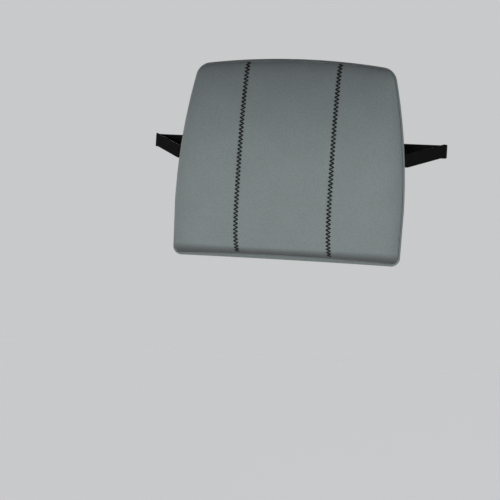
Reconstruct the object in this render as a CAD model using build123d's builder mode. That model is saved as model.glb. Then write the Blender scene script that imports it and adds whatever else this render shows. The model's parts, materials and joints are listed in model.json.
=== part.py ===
"""Lumbar back-support cushion with an elastic chair strap and a side-release buckle.

Millimetres. +Z is up, -Y points towards the sitter, and +X is the sitter's left-hand side. The origin is
the centre of the cushion's flat rear face. The strap stands as worn, in a loop round an absent chair back.
"""

from build123d import *
import os
from math import atan2, cos, degrees, hypot, radians, sin

os.makedirs("parts", exist_ok=True)

# ---------------------------------------------------------------- cushion
half_width = 175.0  # widest half of the rear outline
half_height = 151.0
bottom_half_width = 173.0
widest_z = -70.0
top_corner_x = 149.5
top_corner_z = 140.0
bottom_corner_radius = 13.0
top_corner_radius = 24.0
pad_depth = 40.0  # rear face to the front of the crown
cover = 1.6  # brushed knit laminated to thin foam
slack = 0.1  # room between foam, cover and binding
binding_width = 4.5
binding_depth = 4.5
rim = 3.0  # how far the edge binding stands out past the padded front
bottom_rim = 7.5  # the same at the middle of the bottom edge
rear_arch = 1.0  # how far the rear outline's bottom edge arches up

# the two sewn lines that divide the front into three panels
seam_x = 70.0
seam_gap = 0.3
groove_width = 8.5  # opening of the fold groove at the rear face
stitch_width = 8.0
stitch_pitch = 6.0
thread = 1.1

# ---------------------------------------------------------------- strap
strap_width = 20.0
strap_thickness = 1.5
anchor_z = 6.0
anchor_start_x = 128.0
anchor_bend_x = 172.0
anchor_bend_radius = 6.0
side_angle = 41.0  # direction of the side run in plan, from +X towards +Y
side_length = 62.0
side_rise = 20.0
corner_radius = 10.0
strap_z = anchor_z + side_rise
part_gap = 0.3  # between pieces that move apart
layer_gap = 0.1
layer_step = strap_thickness + layer_gap  # between the middles of two layers of strap
bend = 1.6  # middle-line radius of the strap's easy turns
tight_bend = 0.9  # the same where it is folded hard round a bar
tack_thread = 0.8
tack_height = 0.45
tack_length = 22.0  # box of stitches on each anchor
tack_width = 14.0
tack_angle = degrees(atan2(tack_width, tack_length))
tack_diagonal = hypot(tack_length, tack_width) - 2 * tack_thread
tack_rows = 3  # of bar stitches on the insert's fold

# ---------------------------------------------------------------- buckle
mouth_x = 13.0  # open end of the buckle socket
socket_length = 30.0
buckle_height = 27.0
buckle_thickness = 9.0
wall = 1.9
socket_end_wall = 3.0
edge_round = 1.2
notch_radius = 3.6
bar_width = 3.5
bar_thickness = 3.4
slot_width = 5.0
slot_height = 21.5
frame_height = 26.0
window_near = 13.0  # from the mouth
window_far = 24.0
insert_base = 4.5
insert_thickness = 8.4
tongue_length = 19.0
tongue_half_height = 2.8
tongue_thickness = 4.4
arm_length = 25.0
arm_inner = 7.0  # from the buckle's centre line
arm_width = 2.4
arm_thickness = 4.2
hook_reach = 13.1
hook_length = 8.0
wrap_length = 16.0  # from the bar's middle to the end of a fold round it
wrap_converge = 10.0  # where the two layers of a fold come together

# ---------------------------------------------------------------- adjuster
adjuster_x = -92.0
adjuster_half_length = 13.0
adjuster_height = 28.0
adjuster_bar = 3.0
adjuster_thickness = 2.4
bump_foot = 9.4
bump_top = 3.4

# ---------------------------------------------------------------- care label
label_x = -134.0
label_z = -108.0
label_width = 26.0
label_height = 34.0
label_thickness = 0.4

# places worked out from the sizes above
turn = radians(side_angle)
side_start_x = anchor_bend_x + anchor_bend_radius * sin(turn)
side_start_y = strap_thickness / 2 + anchor_bend_radius * (1 - cos(turn))
corner_start_x = side_start_x + side_length * cos(turn)
corner_start_y = side_start_y + side_length * sin(turn)
corner_end_x = corner_start_x - corner_radius * sin(turn)
strap_y = corner_start_y + corner_radius * (1 + cos(turn))  # outer layer, behind the chair back
buckle_y = strap_y - layer_step / 2
adjuster_y = strap_y + (adjuster_thickness + strap_thickness) / 2 + layer_gap
socket_bar_x = mouth_x - socket_length - slot_width - bar_width / 2
insert_x = mouth_x + part_gap  # the insert's face against the socket's mouth
insert_bar_x = insert_x + insert_base + slot_width + bar_width / 2
bar_leg = (bar_thickness + strap_thickness) / 2 + layer_gap  # a fold's layers, from the bar's middle
cavity_half_height = buckle_height / 2 - wall
cavity_thickness = buckle_thickness - 2 * wall


def export(piece, name):
    """Label one finished sub-part and write its STEP file."""
    piece.label = name
    export_step(piece, f"parts/{name}.step")


# ================================================================ cushion forms
def outline(inset, foot_lift, arch):
    """The cushion's front-view outline as a face, shrunk by inset; the bottom edge arches up in the middle."""
    foot = (bottom_half_width - inset, -half_height + foot_lift + inset)
    widest = (half_width - inset, widest_z)
    shoulder = (top_corner_x - inset, top_corner_z - inset)
    with BuildSketch(Plane.XZ) as face:
        with BuildLine():
            Line(foot, widest)
            TangentArc(widest, shoulder, tangent=(0, 1))
            mirror(about=Plane.YZ)
            ThreePointArc((-shoulder[0], shoulder[1]), (0, half_height - inset), shoulder)
            ThreePointArc((-foot[0], foot[1]), (0, foot[1] + arch), foot)
        make_face()
        fillet(face.vertices().group_by(Axis.Y)[-1], top_corner_radius - inset)
        fillet(face.vertices().group_by(Axis.Y)[0], bottom_corner_radius - inset)
    return face.sketch


def padded_form(inset):
    """The padded front: its outline, side profile and plan profile intersected, shrunk by inset."""
    front = outline(rim + inset, 1.0, bottom_rim - rim)
    with BuildPart() as form:
        with BuildSketch(Plane.XZ):
            add(front)
        extrude(amount=pad_depth)
        with BuildSketch(Plane.YZ):
            with BuildLine():
                bottom = -half_height + 2
                crown = Spline(
                    (0, bottom + inset),
                    (-pad_depth * 0.62 + inset, bottom + 8 + inset),
                    (-pad_depth * 0.93 + inset, bottom + 38),
                    (-pad_depth + inset, -48),
                    (-pad_depth * 0.94 + inset, 30),
                    (-pad_depth * 0.80 + inset, 90),
                    (-pad_depth * 0.55 + inset, 128 - inset / 2),
                    (0, half_height - 1 - inset),
                )
                Line(crown @ 1, crown @ 0)
            make_face()
        extrude(amount=half_width, both=True, mode=Mode.INTERSECT)
        with BuildSketch(Plane.XY):
            with BuildLine():
                brow = Spline(
                    (-half_width + rim / 2 + inset, 0),
                    (-half_width + 9 + inset, -pad_depth * 0.55 + inset),
                    (-half_width + 38, -pad_depth * 0.87 + inset),
                    (-seam_x, -pad_depth * 0.97 + inset),
                    (0, -pad_depth + inset),
                    (seam_x, -pad_depth * 0.97 + inset),
                    (half_width - 38, -pad_depth * 0.87 + inset),
                    (half_width - 9 - inset, -pad_depth * 0.55 + inset),
                    (half_width - rim / 2 - inset, 0),
                )
                Line(brow @ 1, brow @ 0)
            make_face()
        extrude(amount=half_height, both=True, mode=Mode.INTERSECT)
    return form.part


def section_slab(section):
    """Plan outline of one of the three sections; a wing's inner face leans away to leave the groove."""
    if section == "centre":
        reach = seam_x - seam_gap / 2
        corners = [(-reach, 5), (reach, 5), (reach, -60), (-reach, -60)]
    else:
        side = 1 if section == "left" else -1
        near = seam_x + seam_gap / 2
        corners = [(near, -60), (near, -pad_depth), (near + groove_width, 0), (near + groove_width, 5)]
        corners += [(half_width + 5, 5), (half_width + 5, -60)]
        corners = [(side * x, y) for x, y in corners]
    with BuildSketch(Plane.XY) as slab:
        with BuildLine():
            Polyline(*corners, close=True)
        make_face()
    return slab.sketch


cushion_sections = ("centre", "left", "right")
outer_form = padded_form(0)
inner_form = padded_form(cover)
foam_form = padded_form(cover + slack)
rear_outline = outline(0, 0, rear_arch)
rear_inner_outline = outline(binding_width, 0, rear_arch)
rear_cover_outline = outline(binding_width + slack, 0, rear_arch)

for section in cushion_sections:
    slab = section_slab(section)

    # front cover: a thin shell over the padded form, open at the back
    with BuildPart() as front_cover:
        add(outer_form)
        add(inner_form, mode=Mode.SUBTRACT)
        with BuildSketch(Plane.XZ):
            Rectangle(2 * half_width + 10, 2 * half_height + 10)
        extrude(amount=binding_depth + slack, mode=Mode.SUBTRACT)
        with BuildSketch(Plane.XY):
            add(slab)
        extrude(amount=half_height + 5, both=True, mode=Mode.INTERSECT)
    export(front_cover.part, f"front_cover_{section}")

    # memory foam block behind it
    with BuildPart() as foam:
        add(foam_form)
        with BuildSketch(Plane.XZ):
            Rectangle(2 * half_width + 10, 2 * half_height + 10)
        extrude(amount=cover + slack, mode=Mode.SUBTRACT)
        with BuildSketch(Plane.XZ):
            add(rear_cover_outline)
        extrude(amount=pad_depth, mode=Mode.INTERSECT)
        with BuildSketch(Plane.XY):
            add(slab)
        extrude(amount=half_height + 5, both=True, mode=Mode.INTERSECT)
    export(foam.part, f"foam_{section}")

    # flat rear cover
    with BuildPart() as rear_cover:
        with BuildSketch(Plane.XZ):
            add(rear_cover_outline)
        extrude(amount=cover)
        with BuildSketch(Plane.XY):
            add(slab)
        extrude(amount=half_height + 5, both=True, mode=Mode.INTERSECT)
    export(rear_cover.part, f"rear_cover_{section}")

    # edge binding round the rear outline
    with BuildPart() as binding:
        with BuildSketch(Plane.XZ):
            add(rear_outline)
            add(rear_inner_outline, mode=Mode.SUBTRACT)
        extrude(amount=binding_depth)
        with BuildSketch(Plane.XY):
            add(slab)
        extrude(amount=half_height + 5, both=True, mode=Mode.INTERSECT)
    export(binding.part, f"edge_binding_{section}")


# ================================================================ seams
thread_form = padded_form(-thread)
zigzags = int(2 * half_height / stitch_pitch) - 2
for side, name in ((1, "left"), (-1, "right")):
    # black zigzag thread that joins two front panels, lying on their surface
    with BuildPart() as stitch:
        add(thread_form)
        add(outer_form, mode=Mode.SUBTRACT)
        with BuildSketch(Plane.XZ):
            with BuildLine():
                swing = (stitch_width - thread) / 2
                foot = -zigzags * stitch_pitch / 2
                steps = range(2 * zigzags + 1)
                Polyline([(side * seam_x + swing * (-1) ** k, foot + k * stitch_pitch / 2) for k in steps])
            trace(line_width=thread)
        extrude(amount=pad_depth + 5, mode=Mode.INTERSECT)
        with BuildSketch(Plane.XZ):
            Rectangle(2 * half_width, 2 * half_height)
        extrude(amount=pad_depth / 3, mode=Mode.SUBTRACT)
    export(stitch.part, f"zigzag_stitch_{name}")

    # stretch fabric that spans the fold groove at the rear
    with BuildPart() as web:
        with BuildSketch(Plane.XZ):
            add(rear_cover_outline)
        extrude(amount=cover)
        with BuildSketch(Plane.XY):
            near = seam_x - seam_gap / 2 + slack
            far = seam_x + seam_gap / 2 + groove_width - cover * groove_width / pad_depth - slack
            with Locations((side * (near + far) / 2, 0)):
                Rectangle(far - near, 4 * cover)
        extrude(amount=half_height + 5, both=True, mode=Mode.INTERSECT)
    export(web.part, f"groove_web_{name}")


# ================================================================ strap ends sewn to the wings
strap_floor = Plane.XY.offset(anchor_z - strap_width / 2)
loop_floor = Plane.XY.offset(strap_z - strap_width / 2)


def side_section(along, height):
    """A plane across the side run, this far along it in plan, at this height."""
    origin = (side_start_x + along * cos(turn), side_start_y + along * sin(turn), height)
    return Plane(origin=origin, x_dir=(-sin(turn), cos(turn), 0), z_dir=(cos(turn), sin(turn), 0))


for side, name in ((1, "left"), (-1, "right")):
    # flat end of the strap on the wing's rear face, with its bend at the cushion's edge
    with BuildPart() as anchor:
        with BuildSketch(strap_floor):
            with BuildLine():
                flat = Line((anchor_start_x, strap_thickness / 2), (anchor_bend_x, strap_thickness / 2))
                JernArc(start=flat @ 1, tangent=flat % 1, radius=anchor_bend_radius, arc_size=side_angle)
            trace(line_width=strap_thickness)
        extrude(amount=strap_width)
        if side < 0:
            mirror(about=Plane.YZ, mode=Mode.REPLACE)
    export(anchor.part, f"strap_anchor_{name}")

    # box-and-cross stitching that holds it
    with BuildPart() as tack:
        with BuildSketch(Plane.XZ.offset(-strap_thickness - tack_height)):
            with Locations((anchor_start_x + 15, anchor_z)):
                Rectangle(tack_length, tack_width)
                Rectangle(tack_length - 2 * tack_thread, tack_width - 2 * tack_thread, mode=Mode.SUBTRACT)
                for tilt in (tack_angle, -tack_angle):
                    Rectangle(tack_diagonal, tack_thread, rotation=tilt)
        extrude(amount=tack_height)
        if side < 0:
            mirror(about=Plane.YZ, mode=Mode.REPLACE)
    export(tack.part, f"anchor_stitch_{name}")

    # free run from the cushion's edge to the chair back's edge, rising on the way
    with BuildPart() as side_run:
        with BuildSketch(side_section(0, anchor_z)):
            Rectangle(strap_thickness, strap_width)
        with BuildSketch(side_section(side_length - part_gap, strap_z)):
            Rectangle(strap_thickness, strap_width)
        loft(ruled=True)
        if side < 0:
            mirror(about=Plane.YZ, mode=Mode.REPLACE)
    export(side_run.part, f"strap_side_{name}")

    # turn round the chair back's edge
    with BuildPart() as corner:
        with BuildSketch(loop_floor):
            with BuildLine():
                JernArc(
                    start=(corner_start_x, corner_start_y),
                    tangent=(cos(turn), sin(turn)),
                    radius=corner_radius,
                    arc_size=180 - side_angle,
                )
            trace(line_width=strap_thickness)
        extrude(amount=strap_width)
        if side < 0:
            mirror(about=Plane.YZ, mode=Mode.REPLACE)
    export(corner.part, f"strap_corner_{name}")


# ================================================================ strap behind the chair back
def flat_run(from_x, to_x, y):
    """A straight stretch of strap along X behind the chair back."""
    with BuildPart() as run:
        with BuildSketch(loop_floor):
            with Locations(((from_x + to_x) / 2, y)):
                Rectangle(to_x - from_x, strap_thickness)
        extrude(amount=strap_width)
    return run.part


def folded_run(points, radius):
    """A stretch of strap that follows these plan points with rounded turns."""
    with BuildPart() as run:
        with BuildSketch(loop_floor):
            with BuildLine():
                FilletPolyline(*points, radius=radius)
            trace(line_width=strap_thickness)
        extrude(amount=strap_width)
    return run.part


def bar_fold(bar_x, away, main_length, end_length):
    """Plan points of a strap folded round a buckle bar; away is the direction the strap leaves it."""
    layer = layer_step / 2
    past = -away * (bar_width / 2 + layer_gap + strap_thickness / 2)
    return [
        (bar_x + away * main_length, buckle_y + layer),
        (bar_x + away * wrap_converge, buckle_y + layer),
        (bar_x + away * bar_width, buckle_y + bar_leg),
        (bar_x + past, buckle_y + bar_leg),
        (bar_x + past, buckle_y - bar_leg),
        (bar_x + away * bar_width, buckle_y - bar_leg),
        (bar_x + away * wrap_converge, buckle_y - layer),
        (bar_x + away * end_length, buckle_y - layer),
    ]


# left half: sewn round the insert's bar, one layer from there to the corner
insert_main = wrap_length + 6
export(folded_run(bar_fold(insert_bar_x, 1, insert_main, wrap_length), tight_bend), "strap_fold_insert")
export(flat_run(insert_bar_x + insert_main + part_gap, corner_end_x - part_gap, strap_y), "strap_back_left")

with BuildPart() as insert_tack:
    with BuildSketch(Plane.XZ.offset(-(strap_y + strap_thickness / 2 + tack_height))):
        for k in range(tack_rows):
            with Locations((insert_bar_x + wrap_length - 1.2 - 1.5 * k, strap_z)):
                SlotOverall(strap_width - 3, tack_thread, rotation=90)
    extrude(amount=tack_height)
export(insert_tack.part, "insert_bartack")

# right half: round the socket's bar and back to the adjuster
export(folded_run(bar_fold(socket_bar_x, -1, wrap_length, wrap_length), tight_bend), "strap_fold_socket")
doubled_from = adjuster_x + wrap_length + part_gap
doubled_to = socket_bar_x - wrap_length - part_gap
export(flat_run(doubled_from, doubled_to, strap_y), "strap_outer_layer")
export(flat_run(doubled_from, doubled_to, strap_y - layer_step), "strap_return_layer")
export(flat_run(-corner_end_x + part_gap, adjuster_x - wrap_length - part_gap, strap_y), "strap_back_right")

# the strap's weave over the adjuster's centre bar, and its end sewn round that bar
sewn_top = adjuster_y + (adjuster_thickness + strap_thickness) / 2 + layer_gap
bump_y = sewn_top + layer_step
bump_points = [
    (adjuster_x - wrap_length, strap_y),
    (adjuster_x - bump_foot, strap_y),
    (adjuster_x - bump_top, bump_y),
    (adjuster_x + bump_top, bump_y),
    (adjuster_x + bump_foot, strap_y),
    (adjuster_x + wrap_length, strap_y),
]
export(folded_run(bump_points, bend), "strap_weave_adjuster")
sewn_side = adjuster_x - bar_width / 2 - layer_gap - strap_thickness / 2
sewn_points = [
    (adjuster_x + wrap_length, strap_y - layer_step),
    (adjuster_x + 8.6, strap_y - layer_step),
    (adjuster_x + 4.2, strap_y),
    (sewn_side, strap_y),
    (sewn_side, sewn_top),
    (adjuster_x + 2.2, sewn_top),
]
export(folded_run(sewn_points, tight_bend), "strap_end_adjuster")


# ================================================================ three-bar adjuster
with BuildPart() as adjuster:
    with BuildSketch(Plane.XZ.offset(-(adjuster_y + adjuster_thickness / 2))):
        with Locations((adjuster_x, strap_z)):
            RectangleRounded(2 * adjuster_half_length, adjuster_height, 2.5)
        opening = adjuster_half_length - adjuster_bar - bar_width / 2
        with Locations((adjuster_x, strap_z)):
            with GridLocations(opening + bar_width, 0, 2, 1):
                Rectangle(opening, slot_height, mode=Mode.SUBTRACT)
    extrude(amount=adjuster_thickness)
    fillet(adjuster.faces().filter_by(Axis.Y).edges(), 0.6)
export(adjuster.part, "adjuster_frame")


# ================================================================ side-release buckle
def webbing_frame(body_x, bar_x):
    """The frame that holds the webbing, from the buckle's body to the outside of its bar."""
    outward = 1 if bar_x > body_x else -1
    end_x = bar_x + outward * bar_width / 2
    with BuildPart() as frame:
        with BuildSketch(Plane.XZ.offset(-(buckle_y + bar_thickness / 2))):
            with Locations(((body_x + end_x) / 2, strap_z)):
                Rectangle(abs(end_x - body_x), frame_height)
            with Locations((bar_x - outward * (bar_width + slot_width) / 2, strap_z)):
                Rectangle(slot_width, slot_height, mode=Mode.SUBTRACT)
        extrude(amount=bar_thickness)
        fillet(frame.edges().filter_by(Axis.Y).group_by(Axis.X)[-1 if outward > 0 else 0], 2.0)
    return frame.part


socket_frame = webbing_frame(mouth_x - socket_length + edge_round, socket_bar_x)
with BuildPart() as socket:
    with BuildSketch(Plane.XZ.offset(-(buckle_y + buckle_thickness / 2))):
        with Locations((mouth_x - socket_length / 2, strap_z)):
            RectangleRounded(socket_length, buckle_height, 2.5)
    extrude(amount=buckle_thickness)
    fillet(socket.faces().filter_by(Axis.Y).edges(), edge_round)
    add(socket_frame)
    # hollow for the insert, open at the mouth
    with BuildSketch(Plane.YZ.offset(mouth_x)):
        with Locations((buckle_y, strap_z)):
            Rectangle(cavity_thickness, 2 * cavity_half_height)
    extrude(amount=-(socket_length - socket_end_wall), mode=Mode.SUBTRACT)
    # windows in both edges, where the latch arms show and are pressed
    with BuildSketch(Plane.XY.offset(strap_z - buckle_height)):
        with Locations((mouth_x - (window_near + window_far) / 2, buckle_y)):
            Rectangle(window_far - window_near, cavity_thickness)
    extrude(amount=2 * buckle_height, mode=Mode.SUBTRACT)
    # round notch in the mouth, over the insert's tongue
    with BuildSketch(Plane.XZ.offset(-(buckle_y + buckle_thickness))):
        with Locations((mouth_x, strap_z)):
            Circle(notch_radius)
    extrude(amount=2 * buckle_thickness, mode=Mode.SUBTRACT)
export(socket.part, "buckle_socket")

insert_frame = webbing_frame(insert_x + insert_base / 2, insert_bar_x)
with BuildPart() as insert:
    with BuildSketch(Plane.XZ.offset(-(buckle_y + insert_thickness / 2))):
        with Locations((insert_x + insert_base / 2, strap_z)):
            Rectangle(insert_base, buckle_height)
    extrude(amount=insert_thickness)
    fillet(insert.edges().filter_by(Axis.Z).sort_by(Axis.X)[-2:], edge_round)
    add(insert_frame)
    with BuildSketch(Plane.XZ.offset(-(buckle_y + tongue_thickness / 2))):
        with Locations((insert_x, strap_z)):
            Rectangle(tongue_length, 2 * tongue_half_height, align=(Align.MAX, Align.CENTER))
    extrude(amount=tongue_thickness)
export(insert.part, "buckle_insert")

# the insert's two sprung arms, with the hooks that catch behind the windows' front edges
catch_x = window_near + part_gap
arm_profile = [
    (0, arm_inner),
    (0, arm_inner + arm_width),
    (catch_x, arm_inner + arm_width),
    (catch_x, hook_reach),
    (catch_x + hook_length, hook_reach),
    (arm_length, arm_inner + arm_width + 0.8),
    (arm_length, arm_inner),
]
for side, name in ((1, "upper"), (-1, "lower")):
    with BuildPart() as arm:
        with BuildSketch(Plane.XZ.offset(-(buckle_y + arm_thickness / 2))):
            with BuildLine():
                Polyline([(mouth_x - x, strap_z + side * z) for x, z in arm_profile], close=True)
            make_face()
        extrude(amount=arm_thickness)
    export(arm.part, f"latch_arm_{name}")


# ================================================================ care label
with BuildPart() as label:
    with BuildSketch(Plane.XZ.offset(-label_thickness)):
        with Locations((label_x, label_z)):
            Rectangle(label_width, label_height)
    extrude(amount=label_thickness)
export(label.part, "care_label")
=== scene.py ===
"""Looks of the strap-on lumbar cushion: padded panels, zigzag seams, elastic strap, buckle and adjuster.

The CAD frame: +Z is up, -Y points towards the sitter, the origin is the centre of the flat rear face.
Shapes are worked out in millimetres and turned into metres as each mesh is made.
"""

import json
import math

import bpy
import numpy as np
from mathutils import Matrix, Vector, noise
from mathutils.bvhtree import BVHTree
from mathutils.kdtree import KDTree

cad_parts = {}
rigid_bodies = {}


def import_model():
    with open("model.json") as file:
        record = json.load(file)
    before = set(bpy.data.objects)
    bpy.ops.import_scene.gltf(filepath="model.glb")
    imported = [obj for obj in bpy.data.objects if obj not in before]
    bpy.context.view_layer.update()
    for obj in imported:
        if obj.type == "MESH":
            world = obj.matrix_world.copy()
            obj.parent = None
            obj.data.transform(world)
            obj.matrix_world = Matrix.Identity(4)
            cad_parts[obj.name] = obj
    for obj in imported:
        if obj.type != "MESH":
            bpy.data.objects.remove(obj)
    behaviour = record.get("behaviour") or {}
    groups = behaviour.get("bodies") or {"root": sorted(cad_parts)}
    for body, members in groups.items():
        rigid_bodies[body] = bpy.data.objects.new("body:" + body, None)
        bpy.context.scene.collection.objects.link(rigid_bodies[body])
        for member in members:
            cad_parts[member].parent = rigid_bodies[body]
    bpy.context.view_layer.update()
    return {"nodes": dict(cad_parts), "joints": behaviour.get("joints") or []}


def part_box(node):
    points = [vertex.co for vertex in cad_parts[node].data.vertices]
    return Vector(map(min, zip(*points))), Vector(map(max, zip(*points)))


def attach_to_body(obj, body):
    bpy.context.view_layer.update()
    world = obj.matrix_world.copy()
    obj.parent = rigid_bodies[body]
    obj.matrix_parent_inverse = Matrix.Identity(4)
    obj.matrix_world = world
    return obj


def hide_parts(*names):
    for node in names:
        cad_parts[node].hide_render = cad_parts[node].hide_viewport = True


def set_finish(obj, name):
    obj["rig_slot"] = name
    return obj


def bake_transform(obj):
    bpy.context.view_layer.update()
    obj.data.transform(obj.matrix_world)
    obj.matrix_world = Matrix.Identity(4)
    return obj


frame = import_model()
MM = 0.001


def cad(node):
    """Lowest corner, highest corner and middle of a CAD node, in millimetres."""
    lo, hi = (np.array(corner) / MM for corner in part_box(node))
    return lo, hi, (lo + hi) / 2


# ======== sizes, in millimetres
HALF_HEIGHT = cad("edge_binding_centre")[1][2]
HALF_WIDTH = cad("edge_binding_left")[1][0]
PAD_DEPTH = -cad("front_cover_centre")[0][1]
COVER = -cad("rear_cover_centre")[0][1]
JOINTS = {j["name"]: j for j in frame["joints"]}
SEAM_X = JOINTS["left_wing_fold"]["pos_m"][0] / MM
HINGE_Y = JOINTS["left_wing_fold"]["pos_m"][1] / MM
WIDEST_Z = -70.0
FOOT_HALF_WIDTH = HALF_WIDTH - 2.0
SHOULDER = (149.5, 140.0)
TOP_ROUND = 24.0
FOOT_ROUND = 13.0
RIM = 3.0  # the binding stands out past the padded front by this much
GROOVE_X = cad("groove_web_left")[1][0]  # outer edge of the stretch web behind each seam
CREASE = 3.2  # depth of the crease between the padded front and the binding

STRAP_WIDTH = 20.0
STRAP_THICK = 1.5
ANCHOR_Z = cad("strap_anchor_left")[2][2]
STRAP_Z = cad("strap_back_left")[2][2]
STRAP_Y = cad("strap_back_left")[2][1]
LAYER_GAP = 0.1
LAYER_STEP = STRAP_THICK + LAYER_GAP
BUCKLE_Y = cad("buckle_socket")[2][1]
BAR_WIDTH = 3.5
SOCKET_BAR_X = cad("buckle_socket")[0][0] + BAR_WIDTH / 2
INSERT_BAR_X = cad("buckle_insert")[1][0] - BAR_WIDTH / 2
ADJUSTER_X = cad("adjuster_frame")[2][0]
ADJUSTER_Y = cad("adjuster_frame")[2][1]
ADJUSTER_THICK = cad("adjuster_frame")[1][1] - cad("adjuster_frame")[0][1]


# ======== mesh helpers
def piece_from(name, verts, faces, uvs=None, sharp=None, edge=None):
    """A mesh from millimetre points; uvs and edge have one value per point, sharp has point pairs."""
    mesh = bpy.data.meshes.new(name)
    places = (np.asarray(verts, float) * MM).tolist()
    mesh.from_pydata(places, [], [list(map(int, face)) for face in faces])
    mesh.polygons.foreach_set("use_smooth", np.ones(len(mesh.polygons), bool))
    if uvs is not None:
        layer = mesh.uv_layers.new(name="cloth")
        corner = np.zeros(len(mesh.loops), np.int32)
        mesh.loops.foreach_get("vertex_index", corner)
        layer.data.foreach_set("uv", (np.asarray(uvs, float)[corner] * MM).astype(np.float32).ravel())
    # The "edge" attribute holds painted shade: the share by which the cloth's colour is darkened at each
    # point.
    if edge is not None:
        attribute = mesh.attributes.new("edge", "FLOAT", "POINT")
        attribute.data.foreach_set("value", np.asarray(edge, np.float32))
    if sharp:
        keys = {tuple(sorted(pair)) for pair in sharp}
        for e in mesh.edges:
            if tuple(sorted(e.vertices)) in keys:
                e.use_edge_sharp = True
    mesh.update()
    obj = bpy.data.objects.new(name, mesh)
    bpy.context.scene.collection.objects.link(obj)
    return obj


def stand_in(obj, node, slot):
    """Shows the piece in a CAD node's place, with the slot's look."""
    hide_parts(node)
    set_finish(obj, slot)


def grid_faces(rows, cols, offset=0, flip=False):
    """Quads of a grid of points stored row after row."""
    r, c = np.meshgrid(np.arange(rows - 1), np.arange(cols - 1), indexing="ij")
    a = (r * cols + c).ravel() + offset
    quads = np.stack([a, a + 1, a + cols + 1, a + cols], axis=1)
    return quads[:, ::-1] if flip else quads


def grid_normals(grid):
    """Unit normals of a grid of points, on the side that faces the sitter."""
    across = np.gradient(grid, axis=1)
    up = np.gradient(grid, axis=0)
    normal = np.cross(across, up)
    return normal / np.maximum(np.linalg.norm(normal, axis=2, keepdims=True), 1e-9)


def rim_of(rows, cols):
    """Point numbers round a grid's border, in order."""
    low = list(range(cols))
    right = [r * cols + cols - 1 for r in range(1, rows)]
    high = [(rows - 1) * cols + c for c in range(cols - 2, -1, -1)]
    left = [r * cols for r in range(rows - 2, 0, -1)]
    return low + right + high + left


def laid_out(grid):
    """Each point's place on the cloth as it would lie flat, measured along it from the grid's middle."""
    rows, cols = grid.shape[:2]
    x, _, z = np.moveaxis(grid, 2, 0)
    steps_across = np.linalg.norm(np.diff(grid, axis=1), axis=2)
    steps_up = np.linalg.norm(np.diff(grid, axis=0), axis=2)
    across = np.concatenate([np.zeros((rows, 1)), np.cumsum(steps_across, axis=1)], axis=1)
    up = np.concatenate([np.zeros((1, cols)), np.cumsum(steps_up, axis=0)], axis=0)
    anchor = int(np.argmin(np.abs(x[rows // 2])))
    across += (x - across)[:, [anchor]]
    up += (z - up)[[rows // 2]]
    return np.stack([across, up], axis=2).reshape(-1, 2)


def shell(name, front, back, edge=None):
    """A closed piece between two grids of the same size, front towards the sitter."""
    rows, cols = front.shape[:2]
    count = rows * cols
    verts = np.concatenate([front.reshape(-1, 3), back.reshape(-1, 3)])
    faces = [*grid_faces(rows, cols), *grid_faces(rows, cols, count, flip=True)]
    rim = rim_of(rows, cols)
    pairs = list(zip(rim, rim[1:] + rim[:1]))
    faces += [(b, a, a + count, b + count) for a, b in pairs]
    sharp = pairs + [(a + count, b + count) for a, b in pairs]
    uvs = np.concatenate([laid_out(front), laid_out(back)])
    values = None if edge is None else np.concatenate([edge.ravel(), edge.ravel()])
    return piece_from(name, verts, faces, uvs, sharp, values)


def swept(loops, lengths, ring):
    """A closed lot through stations of loops; lengths and ring give the cloth's own coordinates."""
    stations, around = loops.shape[:2]
    last = (stations - 1) * around
    faces = []
    for s in range(stations - 1):
        for k in range(around):
            a, b = s * around + k, s * around + (k + 1) % around
            faces.append((a, b, b + around, a + around))
    faces.append(list(range(around))[::-1])
    faces.append([last + k for k in range(around)])
    uvs = np.array([(u, v) for u in lengths for v in ring])
    ends = [(k, (k + 1) % around) for k in range(around)]
    ends += [(a + last, b + last) for a, b in ends]
    return loops.reshape(-1, 3), faces, uvs, ends


def joined(name, parts):
    """One object from several (verts, faces, uvs, sharp) lots."""
    verts, faces, uvs, sharp, offset = [], [], [], [], 0
    for v, f, u, s in parts:
        verts.append(v)
        uvs.append(u)
        faces += [[i + offset for i in face] for face in f]
        sharp += [(a + offset, b + offset) for a, b in s]
        offset += len(v)
    return piece_from(name, np.concatenate(verts), faces, np.concatenate(uvs), sharp)


def lengths_along(points):
    """Distance of each point from the first, along the line."""
    steps = np.linalg.norm(np.diff(points, axis=0), axis=1)
    return np.concatenate([[0], np.cumsum(steps)])


def spline(points, count):
    """A smooth line through the points, given as this many points at even steps."""
    p = np.array(points, float)
    t = lengths_along(p)
    n, h = len(p), np.diff(t)
    a, b = np.eye(n), np.zeros_like(p)
    for i in range(1, n - 1):
        a[i, i - 1:i + 2] = h[i - 1], 2 * (h[i - 1] + h[i]), h[i]
        b[i] = 6 * ((p[i + 1] - p[i]) / h[i] - (p[i] - p[i - 1]) / h[i - 1])
    m = np.linalg.solve(a, b)
    s = np.linspace(0, t[-1], 3000)
    k = np.clip(np.searchsorted(t, s, side="right") - 1, 0, n - 2)
    left, right = (t[k + 1] - s)[:, None], (s - t[k])[:, None]
    hk = h[k][:, None]
    fine = m[k] * left ** 3 / (6 * hk) + m[k + 1] * right ** 3 / (6 * hk)
    fine += (p[k] / hk - m[k] * hk / 6) * left + (p[k + 1] / hk - m[k + 1] * hk / 6) * right
    length = lengths_along(fine)
    want = np.linspace(0, 1, count) * length[-1]
    return np.stack([np.interp(want, length, fine[:, i]) for i in range(p.shape[1])], axis=1)


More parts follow.
